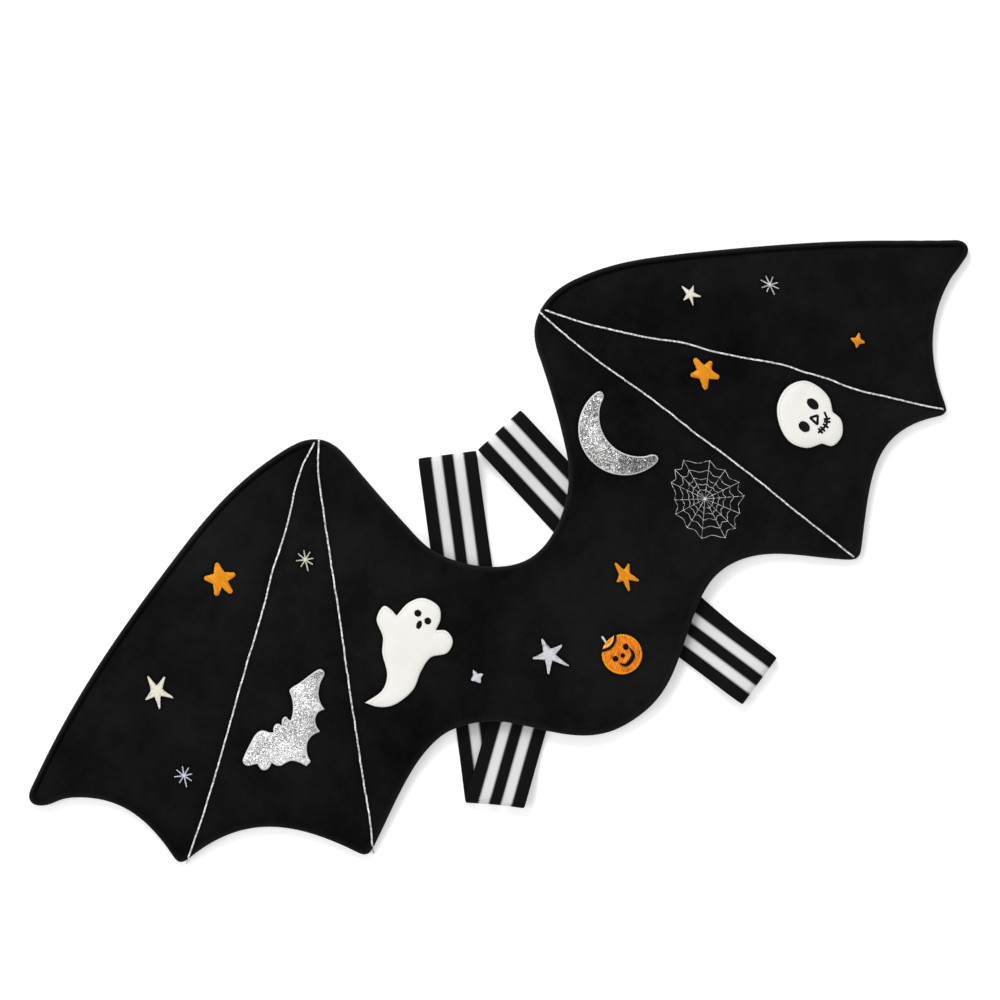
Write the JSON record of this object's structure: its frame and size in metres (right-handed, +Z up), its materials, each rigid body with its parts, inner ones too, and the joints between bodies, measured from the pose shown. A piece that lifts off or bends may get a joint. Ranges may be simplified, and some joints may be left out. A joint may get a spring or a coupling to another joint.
{
  "type": "costume bat wings",
  "caption": "Padded bat wings to wear on the back: black velour with scalloped edges, braid ribs, felt and glitter patches, embroidered stars and striped elastic arm loops.",
  "frame": {"origin": "under the middle of the whole part, on the surface that it lies on", "axes": "+X from the left wing's tip to the right wing's as they lie face up, +Y from the tail to the neck, +Z up out of the decorated front"},
  "size_m": [0.7432, 0.3084, 0.0154],
  "materials": {
    "velour": "short-pile black velour, sewn and turned over wadding",
    "silver_braid": "narrow silver-white metallic braid",
    "elastic": "ribbed elastic webbing with black and white stripes",
    "felt": "off-white craft felt",
    "glitter": "silver glitter cloth",
    "orange_thread": "orange rayon satin stitch",
    "cream_thread": "cream rayon satin stitch",
    "silver_thread": "silver-grey rayon satin stitch",
    "blue_thread": "pale blue-grey rayon satin stitch",
    "black_thread": "black satin stitch"
  },
  "bodies": {
    "root": {"front_panel": "velour", "back_panel": "velour", "rib_left_outer": "silver_braid", "rib_left_inner": "silver_braid", "rib_right_outer": "silver_braid", "rib_right_inner": "silver_braid", "strap_left": "elastic", "strap_right": "elastic", "star_orange_left": "orange_thread", "star_cream_left": "cream_thread", "star_silver": "silver_thread", "star_orange_tail": "orange_thread", "star_orange_right": "orange_thread", "star_cream_right": "cream_thread", "star_silver_small": "silver_thread", "star_orange_small": "orange_thread", "asterisk_cream": "cream_thread", "asterisk_blue": "blue_thread", "asterisk_silver": "silver_thread", "ghost": "felt", "skull": "felt", "bat_patch": "glitter", "moon": "glitter", "pumpkin": "orange_thread", "pumpkin_stem": "cream_thread", "ghost_eye_left": "black_thread", "ghost_eye_right": "black_thread", "ghost_mouth": "black_thread", "skull_eye_left": "black_thread", "skull_eye_right": "black_thread", "skull_nose": "black_thread", "pumpkin_eye_left": "black_thread", "pumpkin_eye_right": "black_thread", "pumpkin_nose": "black_thread"}
  },
  "joints": []
}
